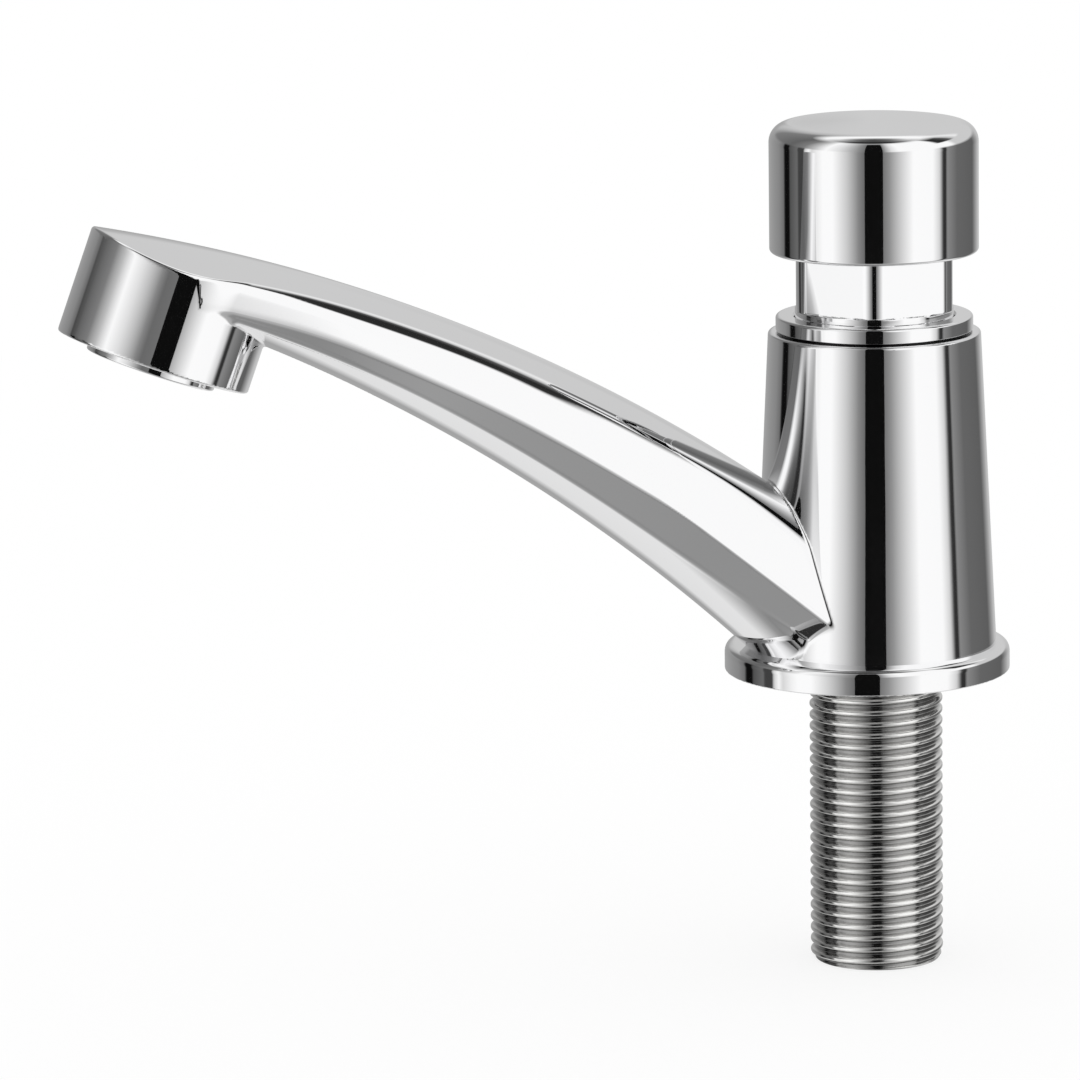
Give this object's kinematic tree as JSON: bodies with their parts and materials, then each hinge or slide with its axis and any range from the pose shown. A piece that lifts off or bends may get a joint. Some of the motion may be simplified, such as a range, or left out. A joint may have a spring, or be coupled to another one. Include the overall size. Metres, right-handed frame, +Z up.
{
  "type": "push timed tap",
  "caption": "Deck-mounted push tap that closes itself: conical body on a round flange, long rising spout with an outlet head, button on top, threaded shank below.",
  "frame": {"origin": "on the axis of the threaded shank, in the plane of the deck under the base flange", "axes": "+Z up along the shank and the button, -Y out along the spout, X across"},
  "size_m": [0.0448, 0.151, 0.1336],
  "materials": {
    "chrome": "polished chrome plate",
    "nickel_brass": "dull nickel-plated brass",
    "brass": "machined brass",
    "stainless": "stainless steel",
    "rubber": "moulded nitrile rubber",
    "white_plastic": "moulded acetal"
  },
  "bodies": {
    "tap": {"tap_body": "chrome", "base_flange": "chrome", "base_gasket": "rubber", "inlet_shank": "nickel_brass", "inlet_washer": "rubber", "inlet_strainer": "stainless", "cartridge_housing": "brass", "cartridge_seal_lower": "rubber", "cartridge_seal_upper": "rubber", "valve_seat": "stainless", "gland_bush": "brass", "stem_seal": "rubber", "spring_seat": "stainless", "return_spring": "stainless", "cylinder_cover": "brass", "cover_seal": "rubber", "timing_screw": "stainless", "bonnet_ring": "chrome", "bonnet_seal": "rubber", "neck_bush": "chrome", "aerator_housing": "chrome", "aerator_mesh": "stainless", "aerator_insert": "white_plastic", "aerator_diffuser": "white_plastic", "aerator_washer": "rubber"},
    "button": {"push_cap": "chrome", "cap_lock_nut": "brass", "plunger_stem": "stainless", "piston": "white_plastic", "piston_seal": "rubber", "piston_clip": "stainless", "valve_washer": "rubber", "washer_holder": "brass", "valve_nut": "brass"}
  },
  "joints": [
    {"name": "button_press", "type": "slide", "parent": "tap", "child": "button", "axis": [0, 0, -1], "range_m": [0, 0.008], "stiffness_N_per_m": 1500, "springref_m": -0.008, "deforming": ["return_spring"]}
  ]
}
